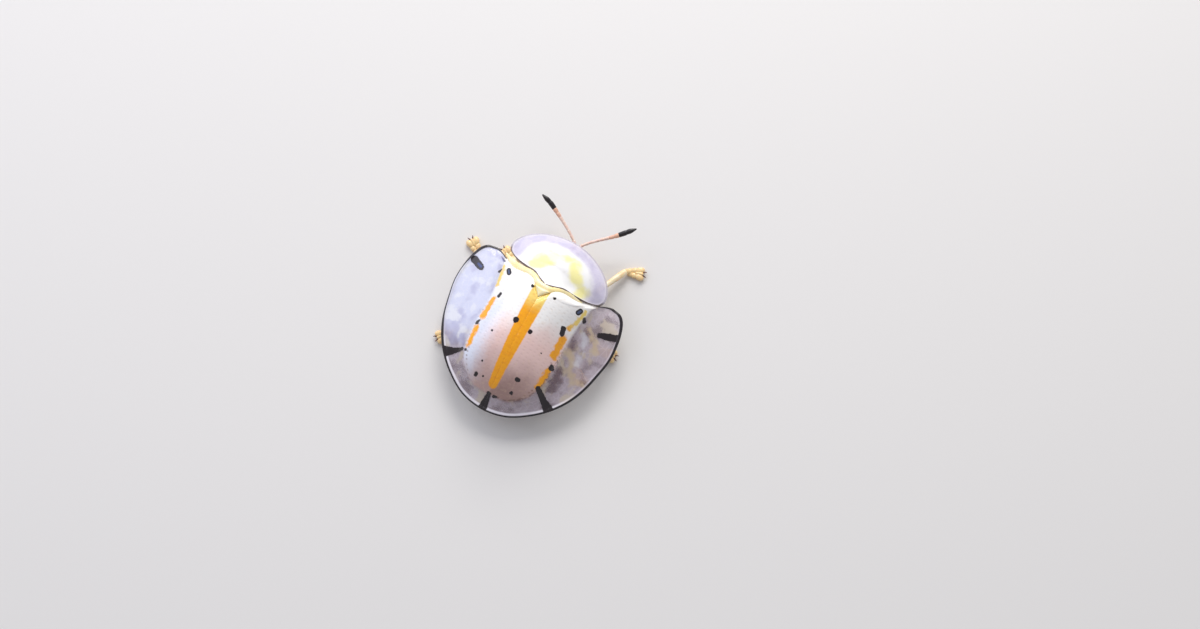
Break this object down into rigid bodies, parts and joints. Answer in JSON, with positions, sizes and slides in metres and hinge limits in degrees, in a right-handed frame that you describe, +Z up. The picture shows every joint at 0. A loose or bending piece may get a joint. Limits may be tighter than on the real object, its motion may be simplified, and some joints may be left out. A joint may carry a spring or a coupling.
{
  "type": "tortoise beetle",
  "caption": "Life-size still model of a tortoise beetle standing on a flat surface, with domed wing cases and pronotum spread into a see-through shield.",
  "frame": {"origin": "centre of the box round the whole beetle, feelers included, at the floor under its feet", "axes": "+Y towards the head, +Z up, +X towards the beetle's right side"},
  "size_m": [0.0146, 0.0174, 0.0051],
  "materials": {
    "pearl_shell": "pearl-white glossy shell with orange bands and black spots, see-through at the margin",
    "cream_shield": "glossy cream-white shell, see-through at the front margin",
    "cream_body": "cream-yellow satin",
    "cream_leg": "cream-yellow satin",
    "antenna": "pale pinkish satin with black tips",
    "black_eye": "glossy black"
  },
  "bodies": {
    "root": {"elytron_right": "pearl_shell", "elytron_left": "pearl_shell", "scutellum": "cream_shield", "pronotum": "cream_shield", "prothorax": "cream_body", "thorax": "cream_body", "abdomen": "cream_body", "head": "cream_body", "eye_right": "black_eye", "eye_left": "black_eye", "antenna_right": "antenna", "antenna_left": "antenna", "leg_front_right": "cream_leg", "leg_front_left": "cream_leg", "leg_middle_right": "cream_leg", "leg_middle_left": "cream_leg", "leg_hind_right": "cream_leg", "leg_hind_left": "cream_leg"}
  },
  "joints": []
}
